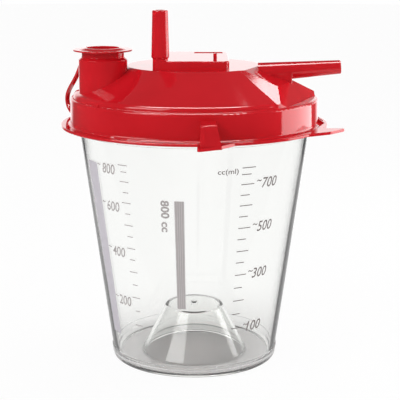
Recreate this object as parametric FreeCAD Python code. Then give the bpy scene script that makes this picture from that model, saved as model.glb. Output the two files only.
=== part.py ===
import FreeCAD, Part
import math
import os

# Suction canister of 800 ml: a clear tapered cup under a red press-on lid.
# Millimetres, +Z up. The origin is the centre of the face that the cup stands on,
# -Y is the front and +X the side of the patient port.

Vec = FreeCAD.Vector
UP = Vec(0, 0, 1)

# Cup
base_radius = 42.8
wall_draft_deg = 7.94
cup_wall = 1.4
cup_floor = 1.6
heel_radius = 2.6
inner_heel_radius = 4.5
foot_band_height = 6.3
foot_band_proud = 0.5
rim_height = 138.0
collar_drop = 16.2
collar_proud = 0.6
bead_height = 1.6
bead_proud = 0.45

# Kick-up in the middle of the cup's floor
kick_base_radius = 28.8
kick_top_radius = 15.2
kick_height = 26.0
kick_wall = 1.5
gate_radius = 1.9
gate_height = 1.3

# Lid shell
lid_wall = 1.4
band_wall = 0.9
band_draft = 0.3
ledge_thickness = 1.2
ledge_width = 1.4
band_edge_radius = 1.2
flange_reach = 4.8
flange_thickness = 1.5
skirt_depth = 15.0
skirt_fillet = 1.2
plug_depth = 7.0
plug_wall = 1.4
fit_clearance = 0.3
snap_drop = 3.0
snap_size = 0.5
shoulder_rise = 2.2
shoulder_radius = 3.0
dome_rise = 13.9
plateau_radius = 34.5
plateau_edge_radius = 2.0

# Filter chamber on the plateau
chamber_left = -20.9
chamber_right = 17.6
chamber_front = -23.9
chamber_rear = 25.0
chamber_corner = 3.9
chamber_rise = 4.3
chamber_edge_radius = 0.7
chamber_skirt = 2.4
membrane_thickness = 0.5
membrane_drop = 1.3
weld_ledge = 1.2
grid_thickness = 1.7
grid_border = 2.2
grid_bar = 1.0
grid_columns = 6
grid_rows = 8
roof_rib_count = 4
roof_rib_width = 1.0
panel_depth = 0.3
panel_inset = 2.6
panel_length = 17.0
panel_width = 15.0
peg_radius = 0.95
peg_height = 2.4
peg_place = (10.7, -6.7)

# Vacuum port, which stands on the front left corner of the chamber
vacuum_tip_radius = 3.93
vacuum_base_radius = 4.55
vacuum_length = 23.2
vacuum_neck = 1.9
vacuum_bore_radius = 2.35

# Pouring spout
spout_azimuth_deg = -74.86
spout_inset = 14.74
spout_radius = 12.35
spout_neck_radius = 10.8
spout_mouth_radius = 9.6
spout_rise = 20.3
spout_step = 1.3
spout_neck_length = 3.0

# Stopper of the spout and the strap that ties it to the flange
cap_radius = 15.05
cap_thickness = 0.8
cap_wall = 1.1
cap_plug_depth = 6.5
cap_ring_height = 0.8
cap_ring_slope = 2.9
cap_tongue_reach = 2.0
strap_thickness = 1.6
strap_width = 2.2
strap_azimuth_deg = -107.0
strap_inset = 2.5
strap_rise = 2.2
strap_bow = 10.0

# Patient port
patient_y = -11.0
patient_inset = 13.0
patient_drop = 1.6
patient_rise_deg = 4.0
patient_root_radius = 4.4
patient_tip_radius = 3.45
patient_length = 24.9
patient_sunk_length = 17.0
patient_bore_radius = 2.35
saddle_length = 17.0

# Raised fan under the patient port: a barrel-shaped facet between two flanks
fan_azimuth_deg = 68.0
fan_crest_inset = 1.9
fan_kink_inset = 12.0
fan_kink_drop = 7.0
fan_foot_inset = 4.4
fan_left_azimuth_deg = 40.0
fan_right_azimuth_deg = 94.0
fan_left_crest = -15.5
fan_right_crest = 10.0
fan_core_inset = 3.0
fan_root_depth = 3.2

# Wing-shaped tabs of the flange: each starts at an azimuth, runs out to its tip and turns back
thumb_tab_azimuths_deg = (54.0, 74.5, 71.0)
thumb_tab_reach = 11.0
front_tab_azimuths_deg = (16.5, 0.9, 1.3)
front_tab_reach = 13.7
tab_shoulder_share = 0.58

# Hollow post on the front tab
post_left = 2.8
post_right = 13.6
post_nose_reach = 11.1
post_corner_reach = 6.6
post_drop = 3.2
post_draft_deg = 12.0
post_edge_radius = 1.0

# Small fins: azimuth of the one on the ledge, azimuths of those on the flange
fin_thickness = 0.9
ledge_fin_azimuth_deg = -48.5
ledge_fin_length = 3.8
ledge_fin_rise = 4.1
flange_fin_azimuths_deg = (86.0, 93.0)
flange_fin_rise = 3.0


def rounded_outline(points, place):
    """Closed wire through (a, b, corner radius) points, each put in space by place."""
    corners = []
    count = len(points)
    for index in range(count):
        here = Vec(points[index][0], points[index][1], 0)
        before = Vec(points[index - 1][0], points[index - 1][1], 0)
        after = Vec(points[(index + 1) % count][0], points[(index + 1) % count][1], 0)
        radius = points[index][2] if len(points[index]) > 2 else 0
        if radius == 0:
            corners.append((here, None, here))
            continue
        back = (before - here).normalize()
        onward = (after - here).normalize()
        half_angle = back.getAngle(onward) / 2
        reach = radius / math.tan(half_angle)
        bisector = (back + onward).normalize()
        middle = here + bisector * (radius / math.sin(half_angle) - radius)
        corners.append((here + back * reach, middle, here + onward * reach))
    edges = []
    for index in range(count):
        start = corners[index - 1][2]
        arc_start, arc_middle, arc_end = corners[index]
        if (arc_start - start).Length > 1e-6:
            edges.append(Part.makeLine(place(start.x, start.y), place(arc_start.x, arc_start.y)))
        if arc_middle is not None:
            arc = Part.Arc(
                place(arc_start.x, arc_start.y),
                place(arc_middle.x, arc_middle.y),
                place(arc_end.x, arc_end.y),
            )
            edges.append(arc.toShape())
    return Part.Wire(Part.__sortEdges__(edges))


def turned(points, centre=(0, 0)):
    """Solid of revolution of a (radius, height, corner radius) profile about a vertical axis."""
    wire = rounded_outline(points, lambda a, b: Vec(centre[0] + a, centre[1], b))
    axis_point = Vec(centre[0], centre[1], 0)
    return Part.Face(wire).revolve(axis_point, UP, 360)


def plate(points, bottom, top):
    """Prism of an (x, y, corner radius) outline between two heights."""
    wire = rounded_outline(points, lambda a, b: Vec(a, b, bottom))
    return Part.Face(wire).extrude(Vec(0, 0, top - bottom))


def rectangle(left, right, front, rear, corner):
    return [(left, front, corner), (right, front, corner), (right, rear, corner), (left, rear, corner)]


def at_azimuth(radius, azimuth_deg, height):
    """Point at an azimuth counted from the front (-Y) towards +X."""
    angle = math.radians(azimuth_deg)
    return Vec(radius * math.sin(angle), -radius * math.cos(angle), height)


# Values that follow from the driving dimensions

wall_slope = math.tan(math.radians(wall_draft_deg))
kick_slope = (kick_base_radius - kick_top_radius) / kick_height


def cup_outer(height):
    return base_radius + wall_slope * height


def cup_inner(height):
    return cup_outer(height) - cup_wall


collar_height = rim_height - collar_drop
bead_radius = cup_outer(rim_height) + bead_proud

band_inner_top = bead_radius + 2 * fit_clearance
band_inner_foot = band_inner_top + 0.1
band_radius = band_inner_top + band_wall
plug_outer_top = cup_inner(rim_height) - fit_clearance
plug_foot = rim_height - plug_depth
plug_outer_foot = cup_inner(plug_foot) - fit_clearance

ledge_radius = band_radius - ledge_width
ledge_height = rim_height + ledge_thickness
flange_radius = band_radius + band_draft + flange_reach
flange_height = ledge_height - skirt_depth
flange_top = flange_height + flange_thickness
shoulder_height = ledge_height + shoulder_rise
shoulder_outer_radius = ledge_radius - 0.3
plateau_height = shoulder_height + dome_rise
cone_slope = dome_rise / (shoulder_outer_radius - plateau_radius)
cone_drop = lid_wall * math.sqrt(1 + cone_slope ** 2)

chamber_height = plateau_height + chamber_rise
chamber_floor_height = plateau_height - lid_wall - chamber_skirt
membrane_height = plateau_height - membrane_drop
vacuum_place = (chamber_left + chamber_corner, chamber_front + chamber_corner)

spout_centre = at_azimuth(ledge_radius - spout_inset, spout_azimuth_deg, 0)
spout_place = (spout_centre.x, spout_centre.y)
spout_shoulder_height = ledge_height + spout_rise
spout_height = spout_shoulder_height + spout_step + spout_neck_length

patient_root_x = ledge_radius - patient_inset
patient_root_height = plateau_height - patient_drop
post_top = ledge_height - post_drop


def make_canister_body():
    collar_outer = cup_outer(collar_height) + collar_proud
    bead_foot = rim_height - bead_height
    kick_foot = kick_base_radius - kick_slope * cup_floor
    profile = [
        (0, kick_height - kick_wall),
        (kick_top_radius - kick_wall, kick_height - kick_wall, 1.0),
        (kick_base_radius - kick_wall, 0, 0.8),
        (cup_outer(0) + foot_band_proud, 0, heel_radius),
        (cup_outer(foot_band_height) + foot_band_proud, foot_band_height, 0.3),
        (cup_outer(foot_band_height), foot_band_height),
        (cup_outer(collar_height), collar_height),
        (collar_outer, collar_height, 0.25),
        (bead_radius - bead_proud, bead_foot),
        (bead_radius, bead_foot, 0.4),
        (bead_radius, rim_height, 0.4),
        (cup_inner(rim_height), rim_height, 0.4),
        (cup_inner(cup_floor), cup_floor, inner_heel_radius),
        (kick_foot, cup_floor, 1.5),
        (kick_top_radius, kick_height, 1.4),
        (0, kick_height),
    ]
    gate = Part.makeCone(gate_radius, gate_radius * 0.8, gate_height + 0.2, Vec(0, 0, kick_height - 0.2))
    return turned(profile).fuse(gate).removeSplitter()


def lid_shell():
    plug_top = plateau_height - cone_drop - (plug_outer_top - plug_wall - plateau_radius) * cone_slope
    underside_turn = plateau_radius - (cone_drop - lid_wall) / cone_slope
    snap_height = rim_height - bead_height - snap_drop
    profile = [
        (0, plateau_height - lid_wall),
        (underside_turn, plateau_height - lid_wall),
        (plug_outer_top - plug_wall, plug_top),
        (plug_outer_foot - plug_wall, plug_foot, 0.4),
        (plug_outer_foot, plug_foot, 0.6),
        (plug_outer_top, rim_height),
        (band_inner_top, rim_height),
        (band_inner_top, snap_height + snap_size),
        (band_inner_top - fit_clearance, snap_height),
        (band_inner_top, snap_height - snap_size),
        (band_inner_foot, flange_height, 0.4),
        (flange_radius, flange_height, 0.5),
        (flange_radius, flange_top, 0.5),
        (band_radius + band_draft, flange_top, skirt_fillet),
        (band_radius, ledge_height, band_edge_radius),
        (ledge_radius, ledge_height, 0.4),
        (shoulder_outer_radius, shoulder_height, shoulder_radius * 0.8),
        (plateau_radius, plateau_height, plateau_edge_radius),
        (0, plateau_height),
    ]
    return turned(profile)


def space_under_dome():
    """The hollow of the dome, which trims what is joined on from above."""
    underside_turn = plateau_radius - (cone_drop - lid_wall) / cone_slope
    reach = plug_outer_top - plug_wall
    edge_height = plateau_height - cone_drop - (reach - plateau_radius) * cone_slope
    profile = [
        (0, plateau_height - lid_wall),
        (underside_turn, plateau_height - lid_wall),
        (reach, edge_height),
        (plug_outer_foot - plug_wall, plug_foot),
        (plug_outer_foot - plug_wall, flange_height),
        (0, flange_height),
    ]
    return turned(profile)


def spout_solids():
    foot = ledge_height + lid_wall
    outside = [
        (0, foot),
        (spout_radius, foot),
        (spout_radius, spout_shoulder_height, 0.5),
        (spout_neck_radius, spout_shoulder_height + spout_step, 0.5),
        (spout_neck_radius, spout_height, 0.3),
        (0, spout_height),
    ]
    hollow = [
        (0, flange_height),
        (spout_radius - lid_wall, flange_height),
        (spout_radius - lid_wall, spout_shoulder_height - 0.6),
        (spout_mouth_radius, spout_shoulder_height + spout_step),
        (spout_mouth_radius, spout_height + 1),
        (0, spout_height + 1),
    ]
    return turned(outside, spout_place), turned(hollow, spout_place)


def vacuum_port_solids():
    base = chamber_height + vacuum_neck
    tip = base + vacuum_length
    neck_radius = chamber_corner
    outside = [
        (0, chamber_height - lid_wall / 2),
        (neck_radius, chamber_height - lid_wall / 2),
        (neck_radius, base - 0.9, 0.3),
        (vacuum_base_radius, base, 0.3),
        (vacuum_tip_radius, tip, 0.6),
        (0, tip),
    ]
    bore = Part.makeCylinder(
        vacuum_bore_radius, tip + 1 - membrane_height - weld_ledge - 1,
        Vec(vacuum_place[0], vacuum_place[1], membrane_height + weld_ledge + 1),
    )
    return turned(outside, vacuum_place), bore


def chamber_outline(inset):
    return rectangle(
        chamber_left + inset, chamber_right - inset,
        chamber_front + inset, chamber_rear - inset,
        max(0.5, chamber_corner - inset),
    )


def chamber_solids():
    block = plate(chamber_outline(0), chamber_floor_height, chamber_height)
    top_edges = [e for e in block.Edges if e.BoundBox.ZMin > chamber_height - 0.01]
    block = block.makeFillet(chamber_edge_radius, top_edges)
    ledge_foot = membrane_height + membrane_thickness
    roof = chamber_height - lid_wall
    voids = [
        plate(chamber_outline(lid_wall), chamber_floor_height - 0.5, ledge_foot),
        plate(chamber_outline(lid_wall + weld_ledge), ledge_foot, ledge_foot + weld_ledge),
        plate(chamber_outline(lid_wall), ledge_foot + weld_ledge, roof),
    ]
    ribs = []
    inner_width = chamber_right - chamber_left - 2 * (lid_wall + weld_ledge)
    rib_pitch = inner_width / (roof_rib_count + 1)
    rib_front = vacuum_place[1] + 2 * vacuum_bore_radius
    rib_rear = chamber_rear - lid_wall - weld_ledge - 2
    for index in range(roof_rib_count):
        centre = chamber_left + lid_wall + weld_ledge + rib_pitch * (index + 1)
        rib = rectangle(centre - roof_rib_width / 2, centre + roof_rib_width / 2, rib_front, rib_rear, 0)
        ribs.append(plate(rib, ledge_foot, roof + lid_wall / 2))
    panel_right = chamber_right - panel_inset
    panel_rear = chamber_rear - panel_inset
    panel = plate(
        rectangle(panel_right - panel_width, panel_right, panel_rear - panel_length, panel_rear, 0.8),
        chamber_height - panel_depth, chamber_height + 1,
    )
    peg_foot = Vec(peg_place[0], peg_place[1], chamber_height - lid_wall / 2)
    peg = Part.makeCylinder(peg_radius, peg_height + lid_wall / 2, peg_foot)
    rim = [e for e in peg.Edges if e.BoundBox.ZMin > chamber_height + peg_height - 0.01]
    peg = peg.makeFillet(peg_radius * 0.5, rim)
    return block, voids, ribs, panel, peg


def block_beyond(point, normal):
    """Large block that starts at a plane and lies on the side its normal points to."""
    size = 8 * band_radius
    block = Part.makeBox(size, size, size, Vec(-size / 2, -size / 2, 0))
    block.Placement = FreeCAD.Placement(point, FreeCAD.Rotation(UP, normal))
    return block


def fan_planes():
    """Point and outward normal of each face that shapes the top of the fan."""
    along = at_azimuth(1, fan_azimuth_deg, 0)
    across = Vec(-along.y, along.x, 0)
    crest_start = along * (plateau_radius - fan_crest_inset) + UP * plateau_height
    kink = along * (ledge_radius - fan_kink_inset) + UP * (plateau_height - fan_kink_drop)
    foot = along * (ledge_radius - fan_foot_inset) + UP * ledge_height
    planes = [(crest_start, UP)]
    for upper, lower in ((crest_start, kink), (kink, foot)):
        planes.append((upper, across.cross(lower - upper).normalize() * -1))
    flanks = ((fan_left_azimuth_deg, fan_left_crest), (fan_right_azimuth_deg, fan_right_crest))
    for azimuth_deg, crest in flanks:
        generator_top = at_azimuth(plateau_radius, azimuth_deg, plateau_height)
        generator_foot = at_azimuth(shoulder_outer_radius, azimuth_deg, shoulder_height)
        corner = kink + across * crest
        normal = (generator_foot - generator_top).cross(corner - generator_top).normalize()
        planes.append((corner, normal * math.copysign(1, normal.z)))
    return planes


def fan_sector():
    """Wedge of the dome, above its ledge, that the fan takes the place of."""
    foot = ledge_height - fan_root_depth
    height = plateau_height + 1 - foot
    angle = fan_right_azimuth_deg - fan_left_azimuth_deg
    start_azimuth = fan_left_azimuth_deg - 90
    whole = Part.makeCylinder(ledge_radius, height, Vec(0, 0, foot), UP, angle)
    core = Part.makeCylinder(plateau_radius - fan_core_inset, height, Vec(0, 0, foot), UP, angle)
    sector = whole.cut(core)
    sector.rotate(Vec(0, 0, 0), UP, start_azimuth)
    return sector


def fan_solid(inset):
    """The fan as a solid block, or its hollow where the faces are moved in by the wall."""
    solid = fan_sector()
    for point, normal in fan_planes():
        solid = solid.cut(block_beyond(point - normal * inset, normal))
    return solid


def fan_shell():
    plug_middle = plug_outer_top - plug_wall / 2
    joint_height = ledge_height - (ledge_height - rim_height) / 2
    envelope = turned([
        (0, flange_height),
        (plug_middle, flange_height),
        (plug_middle, joint_height),
        (ledge_radius, joint_height),
        (ledge_radius, plateau_height + 1),
        (0, plateau_height + 1),
    ])
    plug_inside = turned([
        (0, flange_height),
        (plug_outer_foot - plug_wall, flange_height),
        (plug_outer_foot - plug_wall, plug_foot),
        (plug_outer_top - plug_wall, rim_height),
        (plug_outer_top - plug_wall, plateau_height + 1),
        (0, plateau_height + 1),
    ])
    return fan_solid(0).common(envelope).cut(fan_solid(lid_wall).common(plug_inside))


def patient_port_solids():
    rise = math.radians(patient_rise_deg)
    direction = Vec(math.cos(rise), 0, math.sin(rise))
    root = Vec(patient_root_x, patient_y, patient_root_height)
    start = root - direction * patient_sunk_length
    taper = (patient_root_radius - patient_tip_radius) / patient_length
    start_radius = patient_root_radius + taper * patient_sunk_length
    tube = Part.makeCone(
        start_radius, patient_tip_radius, patient_sunk_length + patient_length, start, direction
    )
    tip_edges = [e for e in tube.Edges if e.BoundBox.XMin > patient_root_x]
    tube = tube.makeFillet(0.5, tip_edges)
    bore = Part.makeCylinder(
        patient_bore_radius, patient_sunk_length + patient_length - 2, start + direction * 3, direction
    )
    saddle = plate(
        rectangle(
            patient_root_x - saddle_length, patient_root_x,
            patient_y - patient_root_radius, patient_y + patient_root_radius, 0.6,
        ),
        ledge_height + 3, patient_root_height,
    )
    return tube, bore, saddle


def wing_tab(azimuths_deg, reach):
    """Flat tab in the flange's plane: a long slanting edge out to a tip and a short way back."""
    start_deg, tip_deg, return_deg = azimuths_deg
    root_radius = flange_radius - 3.0
    edge_radius = flange_radius - 0.4
    inner_start = at_azimuth(root_radius, start_deg, 0)
    start = at_azimuth(edge_radius, start_deg, 0)
    shoulder = at_azimuth(flange_radius + reach * tab_shoulder_share, (start_deg + tip_deg) / 2, 0)
    tip = at_azimuth(flange_radius + reach, tip_deg, 0)
    back = at_azimuth(edge_radius, return_deg, 0)
    inner_back = at_azimuth(root_radius, return_deg, 0)
    outline = [
        (inner_start.x, inner_start.y),
        (start.x, start.y),
        (shoulder.x, shoulder.y, 8.0),
        (tip.x, tip.y, 1.2),
        (back.x, back.y),
        (inner_back.x, inner_back.y),
    ]
    return plate(outline, flange_height, flange_top)


def post_solid(inset):
    """The wedge-shaped post, or its hollow where the faces are moved in by the wall."""
    below = flange_height - 2 * lid_wall
    rear_y = -band_radius / 2
    nose_y = -(flange_radius + post_nose_reach)
    corner_y = -(flange_radius + post_corner_reach)
    narrowing = (post_top - below) * math.tan(math.radians(post_draft_deg))
    plan = rounded_outline([
        (post_left, rear_y),
        (post_right, rear_y),
        (post_right, corner_y, 1.6),
        (post_left, nose_y, 1.8),
    ], lambda a, b: Vec(a, b, below))
    front_view = rounded_outline([
        (post_left, below),
        (post_right, below),
        (post_right - narrowing, post_top),
        (post_left, post_top),
    ], lambda a, b: Vec(a, nose_y, b))
    faces = [Part.Face(plan), Part.Face(front_view)]
    if inset:
        faces = [face.makeOffset2D(-inset) for face in faces]
    column = faces[0].extrude(UP * (post_top - below))
    column = column.common(faces[1].extrude(Vec(0, rear_y - nose_y, 0)))
    if inset:
        return column.cut(Part.makeCylinder(band_radius + band_draft, rim_height))
    top_edges = [
        e for e in column.Edges
        if e.BoundBox.ZMin > post_top - 0.01 and e.BoundBox.YMin < rear_y - 1
    ]
    column = column.makeFillet(post_edge_radius, top_edges)
    return column.cut([
        Part.makeCylinder(band_radius - band_wall / 2, rim_height),
        block_beyond(UP * flange_height, UP * -1),
    ])


def radial_fin(azimuth_deg, inner_radius, outer_radius, foot_height, top_height):
    """Thin upright triangle that stiffens a corner between a floor and a wall."""
    profile = [(inner_radius, foot_height), (outer_radius, foot_height), (inner_radius, top_height)]
    wire = rounded_outline(profile, lambda a, b: Vec(a, -fin_thickness / 2, b))
    fin = Part.Face(wire).extrude(Vec(0, fin_thickness, 0))
    fin.rotate(Vec(0, 0, 0), UP, azimuth_deg - 90)
    return fin


def make_lid():
    hollow = space_under_dome()
    sector_above_ledge = fan_sector().cut(block_beyond(UP * ledge_height, UP * -1))
    spout, spout_hollow = spout_solids()
    nipple, nipple_bore = vacuum_port_solids()
    block, voids, ribs, panel, peg = chamber_solids()
    tube, tube_bore, saddle = patient_port_solids()

    body = lid_shell().cut(sector_above_ledge).fuse(fan_shell())
    saddle = saddle.cut([fan_solid(lid_wall / 2), hollow])
    tube = tube.cut(hollow)
    body = body.fuse([spout.cut(hollow), saddle, tube])
    thumb_tab = wing_tab(thumb_tab_azimuths_deg, thumb_tab_reach)
    front_tab = wing_tab(front_tab_azimuths_deg, front_tab_reach)
    body = body.fuse([block, nipple, peg, thumb_tab, front_tab, post_solid(0)])
    fin_edge = band_radius - 0.2
    fins = [radial_fin(
        ledge_fin_azimuth_deg, fin_edge - ledge_fin_length, fin_edge,
        ledge_height - 0.3, ledge_height + ledge_fin_rise,
    )]
    for azimuth_deg in flange_fin_azimuths_deg:
        fins.append(radial_fin(
            azimuth_deg, band_radius - band_wall / 2, flange_radius - 1.0,
            flange_top - 0.3, flange_top + flange_fin_rise,
        ))
    body = body.fuse(fins)
    body = body.cut(voids + [spout_hollow, post_solid(lid_wall)])
    body = body.fuse(ribs)
    body = body.cut([nipple_bore, tube_bore, panel])
    return body.removeSplitter()


def make_filter_membrane():
    outline = chamber_outline(lid_wall + fit_clearance)
    return plate(outline, membrane_height, membrane_height + membrane_thickness)


def make_filter_grid():
    """Moulded grid that holds the membrane up against its ledge."""
    top = membrane_height
    outline = chamber_outline(lid_wall + fit_clearance)
    grid = plate(outline, top - grid_thickness, top)
    left = chamber_left + lid_wall + fit_clearance + grid_border
    right = chamber_right - lid_wall - fit_clearance - grid_border
    front = chamber_front + lid_wall + fit_clearance + grid_border
    rear = chamber_rear - lid_wall - fit_clearance - grid_border
    column_pitch = (right - left + grid_bar) / grid_columns
    row_pitch = (rear - front + grid_bar) / grid_rows
    windows = []
    for column in range(grid_columns):
        for row in range(grid_rows):
            x = left + column * column_pitch
            y = front + row * row_pitch
            window = rectangle(x, x + column_pitch - grid_bar, y, y + row_pitch - grid_bar, 0)
            windows.append(plate(window, top - grid_thickness - 1, top + 1))
    return grid.cut(windows)


def strap_plane():
    """Unit vectors along and across the upright plane from the spout to the strap's anchor."""
    anchor = at_azimuth(flange_radius - strap_inset, strap_azimuth_deg, 0)
    span = anchor - Vec(spout_place[0], spout_place[1], 0)
    reach = span.Length
    outward = span.normalize()
    return outward, Vec(-outward.y, outward.x, 0), reach


def make_spout_cap():
    """Hollow stopper with a flange that rests on the mouth, and a tongue for the strap."""
    plug = spout_mouth_radius - fit_clearance
    recess = plug - cap_wall
    foot = spout_height - cap_plug_depth
    top = spout_height + cap_thickness
    profile = [
        (0, foot),
        (plug, foot, 0.6),
        (plug, spout_height),
        (cap_radius, spout_height, 0.3),
        (cap_radius, top, 0.3),
        (recess + cap_wall + cap_ring_slope, top),
        (recess + cap_wall, top + cap_ring_height, 0.3),
        (recess, top + cap_ring_height, 0.3),
        (recess, foot + cap_wall, 0.6),
        (0, foot + cap_wall),
    ]
    outward, sideways, reach = strap_plane()
    width = strap_width + 1.0
    tongue = Part.makeBox(width, cap_tongue_reach + 2, cap_thickness)
    corner = outward * (cap_radius - 2) + sideways * (width / 2) + UP * spout_height
    corner = corner + Vec(spout_place[0], spout_place[1], 0)
    tongue.Placement = FreeCAD.Placement(corner, FreeCAD.Rotation(sideways * -1, outward, UP, "XYZ"))
    return turned(profile, spout_place).fuse(tongue).removeSplitter()


def ribbon_outline(path, thickness):
    """Closed outline of a flat strap from its middle line of (a, b, bend radius) points."""
    sides = ([], [])
    for index, (a, b, radius) in enumerate(path):
        here = Vec(a, b, 0)
        incoming = here - Vec(*path[index - 1][:2], 0) if index else None
        outgoing = Vec(*path[index + 1][:2], 0) - here if index + 1 < len(path) else None
        first = (incoming or outgoing).normalize()
        second = (outgoing or incoming).normalize()
        bisector = (first + second).normalize()
        normal = Vec(-bisector.y, bisector.x, 0)
        offset = thickness / 2 / bisector.dot(first)
        turn = first.x * second.y - first.y * second.x
        for side, sign in zip(sides, (1, -1)):
            bend = 0
            if radius:
                bend = radius - sign * math.copysign(thickness / 2, turn)
            point = here + normal * (offset * sign)
            side.append((point.x, point.y, bend))
    return sides[0] + sides[1][::-1]


def make_cap_strap():
    """Strap that leaves the flange, bows outwards and climbs to the stopper's tongue."""
    outward, sideways, reach = strap_plane()
    centre = Vec(spout_place[0], spout_place[1], 0)
    tongue_end = cap_radius + cap_tongue_reach
    start_height = spout_height + cap_thickness - strap_thickness / 2
    path = [
        (tongue_end, start_height, 0),
        (tongue_end + 3.6, start_height - 0.6, 6.0),
        (reach + strap_bow + 1.6, ledge_height - 1.4, 7.0),
        (reach + strap_bow - 1.0, flange_top + strap_rise, 4.0),
        (reach - 1.0, flange_top - 0.6, 0),
    ]

    def place(a, b):
        return centre + outward * a + Vec(0, 0, b) - sideways * (strap_width / 2)

    strap = Part.Face(rounded_outline(ribbon_outline(path, strap_thickness), place))
    strap = strap.extrude(sideways * strap_width)
    below = block_beyond(UP * flange_top, UP * -1)
    inside = Part.makeCylinder(band_radius + band_draft + skirt_fillet, ledge_height + fit_clearance)
    before = block_beyond(centre + outward * tongue_end, outward * -1)
    return strap.cut([below, inside, before])


pieces = {
    "canister_body": make_canister_body,
    "lid": make_lid,
    "filter_membrane": make_filter_membrane,
    "filter_grid": make_filter_grid,
    "spout_cap": make_spout_cap,
    "cap_strap": make_cap_strap,
}

os.makedirs("parts", exist_ok=True)
for name, make in pieces.items():
    shape = make()
    solids = shape.Solids
    print(name, "solids", len(solids), "valid", shape.isValid(), "volume", round(shape.Volume, 1))
    if len(solids) == 1:
        shape = solids[0]
    shape.exportStep("parts/" + name + ".step")
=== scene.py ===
import math

import bmesh
import bpy
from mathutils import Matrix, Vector


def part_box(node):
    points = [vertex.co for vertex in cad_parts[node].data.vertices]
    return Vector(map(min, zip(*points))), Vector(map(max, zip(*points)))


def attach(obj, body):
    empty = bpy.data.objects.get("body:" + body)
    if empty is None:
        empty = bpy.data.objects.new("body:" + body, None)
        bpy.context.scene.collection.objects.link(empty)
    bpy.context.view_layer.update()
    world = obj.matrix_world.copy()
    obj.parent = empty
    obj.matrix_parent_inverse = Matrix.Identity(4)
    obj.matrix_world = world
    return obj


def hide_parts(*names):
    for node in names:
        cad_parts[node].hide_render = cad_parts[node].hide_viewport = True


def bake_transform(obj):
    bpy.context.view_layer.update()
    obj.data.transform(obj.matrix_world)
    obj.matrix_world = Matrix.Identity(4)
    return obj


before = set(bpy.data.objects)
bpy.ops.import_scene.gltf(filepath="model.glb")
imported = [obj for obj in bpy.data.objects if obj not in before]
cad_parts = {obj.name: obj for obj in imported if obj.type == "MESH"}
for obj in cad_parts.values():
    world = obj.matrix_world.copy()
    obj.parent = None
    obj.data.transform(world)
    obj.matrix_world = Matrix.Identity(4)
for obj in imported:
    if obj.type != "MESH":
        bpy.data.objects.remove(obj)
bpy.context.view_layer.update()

MM = 0.001
cup_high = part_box("canister_body")[1]

# Cup wall, in metres: a cone from its foot to the rim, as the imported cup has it
BASE_RADIUS = 42.8 * MM
WALL_SLOPE = math.tan(math.radians(7.94))
WALL = 1.4 * MM
FLOOR = 1.6 * MM
RIM_HEIGHT = cup_high.z
COLLAR_HEIGHT = 121.8 * MM
COLLAR_PROUD = 0.6 * MM
BEAD_HEIGHT = 1.6 * MM
BEAD_PROUD = 0.45 * MM
FOOT_HEIGHT = 6.3 * MM
FOOT_PROUD = 0.5 * MM
KICK_BASE = 28.8 * MM
KICK_TOP = 15.2 * MM
KICK_HEIGHT = 26.0 * MM
KICK_WALL = 1.5 * MM
GATE_RADIUS = 1.9 * MM
GATE_HEIGHT = 1.3 * MM

# Studio: strength of the light from all round, and what gloss sees of the room and of the backdrop
ROOM_LIGHT = 0.42
ROOM_GLOSS = 0.13
BACKDROP_GLOSS = 1.5
NEAR_FLOOR_GLOSS = 0.8
OVERHEAD_GLOSS = 15.0

# Print on the wall: azimuths are counted from the front (-Y) towards +X
INK_STANDOFF = 0.04 * MM
SCALE_HEIGHTS = {
    800: 111.3, 750: 107.9, 700: 102.8, 650: 97.3, 600: 91.9, 550: 86.2, 500: 80.2, 450: 74.3,
    400: 68.0, 350: 62.0, 300: 55.4, 250: 48.5, 200: 41.5, 150: 34.2, 100: 26.4,
}


def wall_radius(z):
    return BASE_RADIUS + WALL_SLOPE * z


def on_wall(azimuth_deg, z, standoff=INK_STANDOFF):
    """Point on the outside of the cup's wall."""
    radius = wall_radius(z) + standoff
    angle = math.radians(azimuth_deg)
    return Vector((radius * math.sin(angle), -radius * math.cos(angle), z))


def link(name, mesh, material):
    piece = bpy.data.objects.new(name, mesh)
    bpy.context.scene.collection.objects.link(piece)
    mesh.materials.append(material)
    return piece


def rounded(points, steps=6):
    """Points of a closed outline, with the corners that state a radius turned into arcs."""
    outline = []
    for index, point in enumerate(points):
        here = Vector(point[:2])
        if len(point) < 3:
            outline.append(here)
            continue
        back = (Vector(points[index - 1][:2]) - here).normalized()
        onward = (Vector(points[(index + 1) % len(points)][:2]) - here).normalized()
        half = back.angle(onward) / 2
        start = here + back * (point[2] / math.tan(half))
        end = here + onward * (point[2] / math.tan(half))
        centre = here + (back + onward).normalized() * (point[2] / math.sin(half))
        for step in range(steps + 1):
            blend = start.lerp(end, step / steps) - centre
            outline.append(centre + blend.normalized() * point[2])
    return outline


def lathe(name, outline, material, segments=192):
    """Closed solid of revolution of a (radius, height) outline about the Z axis."""
    bm = bmesh.new()
    rings = []
    for radius, height in outline:
        if radius < 1e-6:
            rings.append([bm.verts.new((0, 0, height))])
            continue
        ring = []
        for step in range(segments):
            angle = 2 * math.pi * step / segments
            ring.append(bm.verts.new((radius * math.cos(angle), radius * math.sin(angle), height)))
        rings.append(ring)
    for lower, upper in zip(rings, rings[1:] + rings[:1]):
        if len(lower) == 1 and len(upper) == 1:
            continue
        for step in range(segments):
            following = (step + 1) % segments
            if len(lower) == 1:
                bm.faces.new((lower[0], upper[following], upper[step]))
            elif len(upper) == 1:
                bm.faces.new((lower[step], lower[following], upper[0]))
            else:
                bm.faces.new((lower[step], lower[following], upper[following], upper[step]))
    bmesh.ops.recalc_face_normals(bm, faces=bm.faces)
    mesh = bpy.data.meshes.new(name)
    bm.to_mesh(mesh)
    bm.free()
    mesh.shade_smooth()
    piece = link(name, mesh, material)
    mark_sharp(piece, 40)
    return piece


def mark_sharp(piece, angle_deg):
    """Smooth shading with edges sharper than an angle kept."""
    piece.data.shade_smooth()
    piece.data.set_sharp_from_angle(angle=math.radians(angle_deg))


# Materials


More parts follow.
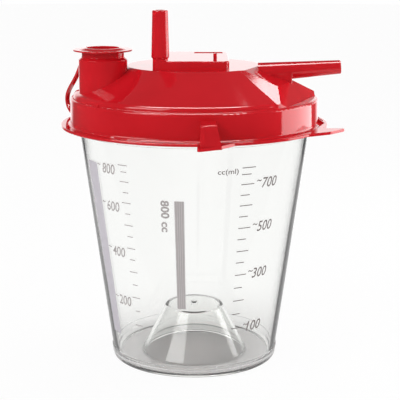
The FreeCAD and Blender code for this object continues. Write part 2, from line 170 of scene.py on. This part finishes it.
def new_material(name):
    material = bpy.data.materials.new(name)
    material.use_nodes = True
    nodes = material.node_tree.nodes
    return material, nodes, material.node_tree.links, nodes["Principled BSDF"]


def bump_from(nodes, links, shader, scale, strength, distance, detail=3.0):
    """Fine unevenness of a moulded face."""
    coordinates = nodes.new("ShaderNodeTexCoord")
    noise = nodes.new("ShaderNodeTexNoise")
    noise.inputs["Scale"].default_value = scale
    noise.inputs["Detail"].default_value = detail
    links.new(coordinates.outputs["Object"], noise.inputs["Vector"])
    bump = nodes.new("ShaderNodeBump")
    bump.inputs["Strength"].default_value = strength
    bump.inputs["Distance"].default_value = distance
    links.new(noise.outputs["Fac"], bump.inputs["Height"])
    links.new(bump.outputs["Normal"], shader.inputs["Normal"])
    return noise


def red_plastic(name):
    """Glossy moulded plastic with slight changes of depth in its red and of its polish."""
    material, nodes, links, shader = new_material(name)
    coordinates = nodes.new("ShaderNodeTexCoord")
    clouds = nodes.new("ShaderNodeTexNoise")
    clouds.inputs["Scale"].default_value = 28
    clouds.inputs["Detail"].default_value = 2
    links.new(coordinates.outputs["Object"], clouds.inputs["Vector"])
    shade = nodes.new("ShaderNodeValToRGB")
    shade.color_ramp.elements[0].position = 0.3
    shade.color_ramp.elements[0].color = (0.56, 0.008, 0.014, 1)
    shade.color_ramp.elements[1].position = 0.7
    shade.color_ramp.elements[1].color = (0.64, 0.011, 0.019, 1)
    links.new(clouds.outputs["Fac"], shade.inputs["Fac"])
    links.new(shade.outputs["Color"], shader.inputs["Base Color"])
    polish = nodes.new("ShaderNodeMapRange")
    polish.inputs["To Min"].default_value = 0.05
    polish.inputs["To Max"].default_value = 0.09
    links.new(clouds.outputs["Fac"], polish.inputs["Value"])
    links.new(polish.outputs["Result"], shader.inputs["Roughness"])
    shader.inputs["IOR"].default_value = 1.5
    bump_from(nodes, links, shader, 900, 0.05, 0.0001)
    return material


def clear_plastic(name):
    """Clear polystyrene with faint flow lines of the moulding."""
    material, nodes, links, shader = new_material(name)
    shader.inputs["Base Color"].default_value = (0.985, 0.988, 0.979, 1)
    shader.inputs["Transmission Weight"].default_value = 1.0
    shader.inputs["IOR"].default_value = 1.45
    coordinates = nodes.new("ShaderNodeTexCoord")
    smears = nodes.new("ShaderNodeTexNoise")
    smears.inputs["Scale"].default_value = 40
    links.new(coordinates.outputs["Object"], smears.inputs["Vector"])
    polish = nodes.new("ShaderNodeMapRange")
    polish.inputs["To Min"].default_value = 0.0
    polish.inputs["To Max"].default_value = 0.05
    links.new(smears.outputs["Fac"], polish.inputs["Value"])
    links.new(polish.outputs["Result"], shader.inputs["Roughness"])
    return material


def ink(name, colour):
    """Pad-printed ink, a little uneven where it lies thin."""
    material, nodes, links, shader = new_material(name)
    coordinates = nodes.new("ShaderNodeTexCoord")
    grain = nodes.new("ShaderNodeTexNoise")
    grain.inputs["Scale"].default_value = 2500
    links.new(coordinates.outputs["Object"], grain.inputs["Vector"])
    shade = nodes.new("ShaderNodeValToRGB")
    shade.color_ramp.elements[0].color = tuple(0.85 * part for part in colour) + (1,)
    shade.color_ramp.elements[1].color = tuple(min(1, 1.15 * part) for part in colour) + (1,)
    links.new(grain.outputs["Fac"], shade.inputs["Fac"])
    links.new(shade.outputs["Color"], shader.inputs["Base Color"])
    shader.inputs["Roughness"].default_value = 0.45
    return material


def white_mesh(name):
    """Woven filter cloth."""
    material, nodes, links, shader = new_material(name)
    coordinates = nodes.new("ShaderNodeTexCoord")
    weave = nodes.new("ShaderNodeTexVoronoi")
    weave.inputs["Scale"].default_value = 1800
    links.new(coordinates.outputs["Object"], weave.inputs["Vector"])
    shade = nodes.new("ShaderNodeValToRGB")
    shade.color_ramp.elements[0].color = (0.72, 0.72, 0.7, 1)
    shade.color_ramp.elements[1].color = (0.9, 0.9, 0.88, 1)
    links.new(weave.outputs["Distance"], shade.inputs["Fac"])
    links.new(shade.outputs["Color"], shader.inputs["Base Color"])
    shader.inputs["Roughness"].default_value = 0.85
    bump = nodes.new("ShaderNodeBump")
    bump.inputs["Distance"].default_value = 0.0001
    links.new(weave.outputs["Distance"], bump.inputs["Height"])
    links.new(bump.outputs["Normal"], shader.inputs["Normal"])
    return material


def white_plastic(name):
    material, nodes, links, shader = new_material(name)
    noise = bump_from(nodes, links, shader, 1200, 0.2, 0.0001)
    shade = nodes.new("ShaderNodeValToRGB")
    shade.color_ramp.elements[0].color = (0.74, 0.74, 0.73, 1)
    shade.color_ramp.elements[1].color = (0.84, 0.84, 0.83, 1)
    links.new(noise.outputs["Fac"], shade.inputs["Fac"])
    links.new(shade.outputs["Color"], shader.inputs["Base Color"])
    shader.inputs["Roughness"].default_value = 0.5
    return material


# The cup


def build_cup():
    def outer(z):
        return wall_radius(z)

    def inner(z):
        return wall_radius(z) - WALL

    bead_radius = outer(RIM_HEIGHT) + BEAD_PROUD
    kick_slope = (KICK_BASE - KICK_TOP) / KICK_HEIGHT
    bead_foot = RIM_HEIGHT - BEAD_HEIGHT
    outline = rounded([
        (0, KICK_HEIGHT - KICK_WALL),
        (KICK_TOP - KICK_WALL, KICK_HEIGHT - KICK_WALL, 1.0 * MM),
        (KICK_BASE - KICK_WALL, 0, 0.8 * MM),
        (outer(0) + FOOT_PROUD, 0, 2.6 * MM),
        (outer(FOOT_HEIGHT) + FOOT_PROUD, FOOT_HEIGHT, 0.3 * MM),
        (outer(FOOT_HEIGHT), FOOT_HEIGHT),
        (outer(COLLAR_HEIGHT), COLLAR_HEIGHT),
        (outer(COLLAR_HEIGHT) + COLLAR_PROUD, COLLAR_HEIGHT, 0.25 * MM),
        (outer(RIM_HEIGHT), bead_foot),
        (bead_radius, bead_foot, 0.4 * MM),
        (bead_radius, RIM_HEIGHT, 0.4 * MM),
        (inner(RIM_HEIGHT), RIM_HEIGHT, 0.4 * MM),
        (inner(FLOOR), FLOOR, 4.5 * MM),
        (KICK_BASE - kick_slope * FLOOR, FLOOR, 1.5 * MM),
        (KICK_TOP, KICK_HEIGHT, 1.4 * MM),
        (GATE_RADIUS, KICK_HEIGHT),
        (GATE_RADIUS * 0.8, KICK_HEIGHT + GATE_HEIGHT, 0.3 * MM),
        (0, KICK_HEIGHT + GATE_HEIGHT),
    ])
    cup = lathe("clear_cup", outline, clear_plastic("clear_polystyrene"))
    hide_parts("canister_body")
    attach(cup, "canister")


# Print


def wrap(bm, azimuth_deg, height):
    """Lays a flat mesh, drawn in X and Y, on the cup's wall about a place given as azimuth and height."""
    lean = math.cos(math.atan(WALL_SLOPE))
    for vertex in bm.verts:
        z = height + vertex.co.y * lean
        turn = math.degrees(vertex.co.x / wall_radius(z))
        vertex.co = on_wall(azimuth_deg + turn, z)


def cut_into_columns(bm, width=0.8 * MM):
    """Cuts a flat mesh by upright lines, so that it can follow the round wall."""
    xs = [vertex.co.x for vertex in bm.verts]
    x = math.floor(min(xs) / width) * width
    while x < max(xs):
        parts = bm.verts[:] + bm.edges[:] + bm.faces[:]
        bmesh.ops.bisect_plane(bm, geom=parts, plane_co=(x, 0, 0), plane_no=(1, 0, 0))
        x += width


def flat_text(text, width, height, shear=0.0, weight=0.01, upright=False):
    """Mesh of a line of figures in the XY plane, centred on the origin and fitted to a size.

    An upright line reads downwards.
    """
    curve = bpy.data.curves.new("figures", "FONT")
    curve.body = text
    curve.shear = shear
    curve.offset = weight
    curve.resolution_u = 3
    holder = bpy.data.objects.new("figures", curve)
    bpy.context.scene.collection.objects.link(holder)
    bpy.context.view_layer.update()
    mesh = bpy.data.meshes.new_from_object(holder)
    bpy.data.objects.remove(holder)
    bpy.data.curves.remove(curve)
    bm = bmesh.new()
    bm.from_mesh(mesh)
    bpy.data.meshes.remove(mesh)
    for axis, extent in ((0, width), (1, height)):
        places = [vertex.co[axis] for vertex in bm.verts]
        middle = (min(places) + max(places)) / 2
        factor = extent / (max(places) - min(places))
        for vertex in bm.verts:
            vertex.co[axis] = (vertex.co[axis] - middle) * factor
    if upright:
        for vertex in bm.verts:
            vertex.co.x, vertex.co.y = vertex.co.y, -vertex.co.x
    return bm


def flat_shape(corners):
    bm = bmesh.new()
    bm.faces.new([bm.verts.new((x, y, 0)) for x, y in corners])
    return bm


def add_print(name, marks, material):
    """One piece of print made of (flat mesh, azimuth, height) marks."""
    whole = bmesh.new()
    for bm, azimuth_deg, height in marks:
        cut_into_columns(bm)
        wrap(bm, azimuth_deg, height)
        part = bpy.data.meshes.new("mark")
        bm.to_mesh(part)
        bm.free()
        whole.from_mesh(part)
        bpy.data.meshes.remove(part)
    mesh = bpy.data.meshes.new(name)
    whole.to_mesh(mesh)
    whole.free()
    piece = link(name, mesh, material)
    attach(piece, "canister")


def scale_marks(long_tick, short_tick, number_azimuth, tilde_azimuth, numbers, number_drop):
    """Ticks for every 50 ml and, beside some of them, a tilde and a number."""
    marks = []
    half = 0.23 * MM
    for volume, z_mm in SCALE_HEIGHTS.items():
        z = z_mm * MM
        start, end = long_tick if volume % 100 == 0 else short_tick
        length = math.radians(end - start) * wall_radius(z)
        marks.append((flat_shape([(0, -half), (length, -half), (length, half), (0, half)]), start, z))
        if volume in numbers:
            below = z - number_drop
            marks.append((flat_text(f"{volume}", 9.7 * MM, 5.4 * MM, shear=0.2), number_azimuth, below))
            marks.append((flat_text("~", 2.8 * MM, 1.0 * MM), tilde_azimuth, below + 1.3 * MM))
    return marks


def strip(azimuth_deg, arc_deg, low, high):
    """Plain strip that keeps its arc on the tapered wall."""
    middle = (low + high) / 2
    half_arc = math.radians(arc_deg) / 2
    reach = (high - middle) / math.cos(math.atan(WALL_SLOPE))
    below, above = half_arc * wall_radius(low), half_arc * wall_radius(high)
    corners = [(-below, -reach), (below, -reach), (above, reach), (-above, reach)]
    return flat_shape(corners), azimuth_deg, middle


def build_print():
    grey_ink = ink("grey_ink", (0.2, 0.175, 0.17))
    pale_ink = ink("pale_ink", (0.42, 0.39, 0.385))
    strip_ink = ink("strip_ink", (0.53, 0.5, 0.5))
    streak_ink = ink("streak_ink", (0.42, 0.39, 0.39))
    lilac_ink = ink("lilac_ink", (0.6, 0.57, 0.62))
    right = scale_marks((23.6, 30.9), (23.6, 28.8), 40.5, 33.8, (700, 500, 300, 100), 0.1 * MM)
    right.append((flat_text("cc(ml)", 10.6 * MM, 3.5 * MM), 16.5, 109.5 * MM))
    add_print("print_scale_right", right, grey_ink)
    left = scale_marks((-40.0, -34.2), (-38.7, -35.0), -47.2, -54.9, (800, 600, 400, 200), 3.0 * MM)
    add_print("print_scale_left", left, pale_ink)
    size = [(flat_text("800 cc", 16.5 * MM, 4.4 * MM, weight=0.03, upright=True), -14.9, 87.2 * MM)]
    add_print("print_size", size, pale_ink)
    low, high, arc = 38.4 * MM, 95.2 * MM, 5 / 9
    bands = [strip(-10.0 + (step + 0.5) * arc, arc, low, high) for step in range(9)]
    add_print("print_strip", bands[::2], strip_ink)
    add_print("print_streaks", bands[1::2], streak_ink)
    add_print("print_strip_left", [strip(-62.0, 10.0, 18 * MM, 110 * MM)], lilac_ink)


# The strap


def build_strap(material):
    """Strap that bows out from the flange and climbs to the stopper."""
    centre = Vector((-46.2 * MM, -12.5 * MM, 0))
    anchor_azimuth = math.radians(-107)
    anchor = Vector((66.6 * MM * math.sin(anchor_azimuth), -66.6 * MM * math.cos(anchor_azimuth), 0))
    outward = (anchor - centre).normalized()
    reach = (anchor - centre).length
    sideways = Vector((-outward.y, outward.x, 0))
    tongue_end = 17.05 * MM
    path = [
        (tongue_end - 0.5 * MM, 163.8 * MM),
        (tongue_end + 2.0 * MM, 163.5 * MM),
        (tongue_end + 6.5 * MM, 160.0 * MM),
        (32.0 * MM, 148.0 * MM),
        (reach + 7.2 * MM, 140.0 * MM),
        (reach + 11.6 * MM, 134.5 * MM),
        (reach + 9.4 * MM, 129.0 * MM),
        (reach + 4.0 * MM, 127.0 * MM),
        (reach - 1.0 * MM, 125.7 * MM),
    ]
    curve = bpy.data.curves.new("strap_line", "CURVE")
    curve.dimensions = "3D"
    spline = curve.splines.new("NURBS")
    spline.points.add(len(path) - 1)
    for point, (along, height) in zip(spline.points, path):
        point.co = (centre + outward * along + Vector((0, 0, height)))[:] + (1,)
    spline.order_u = 4
    spline.use_endpoint_u = True
    spline.resolution_u = 10
    holder = bpy.data.objects.new("strap_line", curve)
    bpy.context.scene.collection.objects.link(holder)
    bpy.context.view_layer.update()
    line = bpy.data.meshes.new_from_object(holder)
    points = [vertex.co.copy() for vertex in line.vertices]
    bpy.data.objects.remove(holder)
    section = rounded([
        (-1.1 * MM, -0.8 * MM, 0.35 * MM), (1.1 * MM, -0.8 * MM, 0.35 * MM),
        (1.1 * MM, 0.8 * MM, 0.35 * MM), (-1.1 * MM, 0.8 * MM, 0.35 * MM),
    ], 3)
    bm = bmesh.new()
    rings = []
    for index, point in enumerate(points):
        ahead = points[min(index + 1, len(points) - 1)]
        behind = points[max(index - 1, 0)]
        direction = (ahead - behind).normalized()
        upward = sideways.cross(direction).normalized()
        rings.append([bm.verts.new(point + sideways * a + upward * b) for a, b in section])
    count = len(section)
    for first, second in zip(rings, rings[1:]):
        for step in range(count):
            following = (step + 1) % count
            bm.faces.new((first[step], first[following], second[following], second[step]))
    bm.faces.new(rings[0][::-1])
    bm.faces.new(rings[-1])
    bmesh.ops.recalc_face_normals(bm, faces=bm.faces)
    mesh = bpy.data.meshes.new("strap")
    bm.to_mesh(mesh)
    bm.free()
    strap = link("strap", mesh, material)
    mark_sharp(strap, 50)
    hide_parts("cap_strap")
    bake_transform(strap)


# Stage


def connect(links, value, socket):
    """Puts a number or another node's output on a socket."""
    if isinstance(value, (int, float)):
        socket.default_value = value
    else:
        links.new(value, socket)


def grey_world(nodes, links, strength):
    shade = nodes.new("ShaderNodeBackground")
    shade.inputs["Color"].default_value = (1, 1, 1, 1)
    connect(links, strength, shade.inputs["Strength"])
    return shade.outputs[0]


def ramp(nodes, links, value, start, end, low, high):
    """Value carried from one range to another and held at its ends."""
    shade = nodes.new("ShaderNodeMapRange")
    shade.inputs["From Min"].default_value = start
    shade.inputs["From Max"].default_value = end
    shade.inputs["To Min"].default_value = low
    shade.inputs["To Max"].default_value = high
    links.new(value, shade.inputs["Value"])
    return shade.outputs["Result"]


def arithmetic(nodes, links, operation, first, second):
    step = nodes.new("ShaderNodeMath")
    step.operation = operation
    for socket, value in zip(step.inputs, (first, second)):
        connect(links, value, socket)
    return step.outputs[0]


def choose(nodes, links, factor, first, second):
    mix = nodes.new("ShaderNodeMixShader")
    connect(links, factor, mix.inputs["Fac"])
    links.new(first, mix.inputs[1])
    links.new(second, mix.inputs[2])
    return mix.outputs[0]


def ray_kinds(nodes, links):
    """Light Path node, rays that have come through the clear cup, and gloss that hasn't."""
    path = nodes.new("ShaderNodeLightPath")
    passed = arithmetic(nodes, links, "GREATER_THAN", path.outputs["Transmission Depth"], 0.5)
    not_diffuse = arithmetic(nodes, links, "SUBTRACT", 1.0, path.outputs["Is Diffuse Ray"])
    through = arithmetic(nodes, links, "MULTIPLY", passed, not_diffuse)
    not_passed = arithmetic(nodes, links, "SUBTRACT", 1.0, passed)
    gloss = arithmetic(nodes, links, "MULTIPLY", path.outputs["Is Glossy Ray"], not_passed)
    return path, through, gloss


def build_world():
    """White behind the object for the camera; gloss sees a dark room, a low backdrop and a panel above."""
    world = bpy.data.worlds.new("studio")
    bpy.context.scene.world = world
    world.use_nodes = True
    nodes, links = world.node_tree.nodes, world.node_tree.links
    nodes.remove(nodes["Background"])
    direction = nodes.new("ShaderNodeTexCoord")
    split = nodes.new("ShaderNodeSeparateXYZ")
    links.new(direction.outputs["Generated"], split.inputs[0])
    low_down = ramp(nodes, links, split.outputs["Z"], 0.27, 0.34, 1, 0)
    behind = ramp(nodes, links, split.outputs["Y"], 0.82, 0.92, 0, 1)
    backdrop = arithmetic(nodes, links, "MULTIPLY", low_down, behind)
    low_studio = ramp(nodes, links, backdrop, 0, 1, ROOM_GLOSS, BACKDROP_GLOSS)
    above = ramp(nodes, links, split.outputs["Z"], 0.2, 0.9, 1.0, 0.6)
    aside = arithmetic(nodes, links, "ABSOLUTE", split.outputs["X"], 0.0)
    panel = ramp(nodes, links, split.outputs["Z"], 0.84, 0.9, 0, 1)
    for source, start, end, low, high in (
        (aside, 0.42, 0.5, 1, 0),
        (split.outputs["Y"], 0.16, 0.24, 1, 0),
        (split.outputs["Y"], -0.16, -0.1, 0, 1),
    ):
        panel = arithmetic(nodes, links, "MULTIPLY", panel, ramp(nodes, links, source, start, end, low, high))
    panel = arithmetic(nodes, links, "MULTIPLY", panel, OVERHEAD_GLOSS)
    studio = arithmetic(nodes, links, "ADD", low_studio, panel)
    sides = ramp(nodes, links, aside, 0.35, 0.8, 1.0, 0.5)
    clear_room = arithmetic(nodes, links, "MULTIPLY", above, sides)
    path, through, in_gloss = ray_kinds(nodes, links)
    clear = choose(nodes, links, through, grey_world(nodes, links, ROOM_LIGHT),
                   grey_world(nodes, links, clear_room))
    gloss = choose(nodes, links, in_gloss, clear, grey_world(nodes, links, studio))
    seen = choose(nodes, links, path.outputs["Is Camera Ray"], gloss, grey_world(nodes, links, 1.0))
    links.new(seen, nodes["World Output"].inputs["Surface"])


def build_floor():
    """Pale floor: white with the object's shadow for the camera, and its own brightness for gloss. Seen
    through the cup it carries painted shade, darker towards the cup's axis and inside the kick-up's hollow.
    """
    material, nodes, links, shader = new_material("pale_floor")
    shader.inputs["Base Color"].default_value = (0.86, 0.86, 0.86, 1)
    shader.inputs["Roughness"].default_value = 0.6

    def glow(strength):
        shade = nodes.new("ShaderNodeEmission")
        connect(links, strength, shade.inputs["Strength"])
        return shade.outputs[0]

    place = nodes.new("ShaderNodeTexCoord")
    split = nodes.new("ShaderNodeSeparateXYZ")
    links.new(place.outputs["Object"], split.inputs[0])
    distance = nodes.new("ShaderNodeVectorMath")
    distance.operation = "LENGTH"
    links.new(place.outputs["Object"], distance.inputs[0])
    heading = arithmetic(nodes, links, "DIVIDE", split.outputs["Y"], distance.outputs["Value"])
    backdrop = ramp(nodes, links, heading, 0.82, 0.92, ROOM_GLOSS, BACKDROP_GLOSS)
    near = ramp(nodes, links, distance.outputs["Value"], 0.42, 0.5, NEAR_FLOOR_GLOSS, ROOM_GLOSS)
    in_mirror = arithmetic(nodes, links, "MAXIMUM", backdrop, near)
    # Painted shade: seen through the cup, the floor gets less of its glow towards the cup's axis and less
    # again inside the kick-up's hollow, so it shows darker there.
    painted_shade_round_cup = ramp(nodes, links, distance.outputs["Value"], 0.035, 0.11, 0.3, 0.95)
    painted_shade_in_hollow = ramp(nodes, links, distance.outputs["Value"], KICK_BASE - KICK_WALL, KICK_BASE, 0.35, 1.0)
    glow_share_with_painted_shade = arithmetic(nodes, links, "MULTIPLY", painted_shade_round_cup, painted_shade_in_hollow)
    path, through, in_gloss = ray_kinds(nodes, links)
    lit = shader.outputs[0]
    floor_with_painted_shade = choose(nodes, links, glow_share_with_painted_shade, lit, glow(1.0))
    for_camera = choose(nodes, links, 0.95, lit, glow(1.0))
    clear = choose(nodes, links, through, lit, floor_with_painted_shade)
    gloss = choose(nodes, links, in_gloss, clear, glow(in_mirror))
    seen = choose(nodes, links, path.outputs["Is Camera Ray"], gloss, for_camera)
    links.new(seen, nodes["Material Output"].inputs["Surface"])

    bm = bmesh.new()
    bmesh.ops.create_circle(bm, cap_ends=True, radius=3.0, segments=96)
    mesh = bpy.data.meshes.new("floor")
    bm.to_mesh(mesh)
    bm.free()
    floor = link("floor", mesh, material)


def add_lamp(name, place, target, size, power, in_gloss, through_cup):
    lamp = bpy.data.lights.new(name, "AREA")
    lamp.shape = "RECTANGLE"
    lamp.size, lamp.size_y = size
    lamp.energy = power
    holder = bpy.data.objects.new(name, lamp)
    holder.location = place
    holder.rotation_euler = (Vector(target) - Vector(place)).to_track_quat("-Z", "Y").to_euler()
    holder.visible_glossy = in_gloss
    holder.visible_transmission = through_cup
    bpy.context.scene.collection.objects.link(holder)


def build_lamps():
    aim = (0, 0, 0.12)
    add_lamp("key_left", (-0.8, -0.7, 0.8), aim, (0.85, 0.6), 7.6, True, True)
    add_lamp("fill_right", (0.9, -0.5, 0.5), aim, (0.6, 0.6), 1.7, False, False)
    add_lamp("right_box", (0.5, 0.15, 0.2), (0, 0, 0.2), (0.48, 0.4), 2.2, True, False)
    add_lamp("overhead", (0.03, 0.25, 1.15), aim, (0.22, 0.16), 1.1, False, False)
    add_lamp("flank", (0.276, 0.478, 0.973), (0.034, -0.036, 0.148), (0.052, 0.06), 0.1, True, False)
    add_lamp("low_right", (0.53, 0.19, 0.22), (0, 0, 0.015), (0.2, 0.2), 0.46, False, True)


def build_camera():
    camera = bpy.data.cameras.new("camera")
    camera.sensor_width = 36
    camera.lens = 114.3
    camera.shift_x = 5.8 / 400
    camera.clip_start = 0.05
    holder = bpy.data.objects.new("camera", camera)
    holder.location = (0, -0.656, 0.2277)
    holder.rotation_euler = (math.radians(90 - 12.376), 0, 0)
    bpy.context.scene.collection.objects.link(holder)
    bpy.context.scene.camera = holder


def dress(node, material, angle_deg=35):
    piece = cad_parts[node]
    piece.data.materials.clear()
    piece.data.materials.append(material)
    mark_sharp(piece, angle_deg)


bpy.context.scene.view_settings.view_transform = "Standard"
lid_red = red_plastic("red_plastic")
dress("lid", lid_red)
dress("spout_cap", lid_red)
dress("filter_membrane", white_mesh("filter_cloth"))
dress("filter_grid", white_plastic("white_plastic"))
build_cup()
build_print()
build_strap(lid_red)
build_world()
build_floor()
build_lamps()
build_camera()
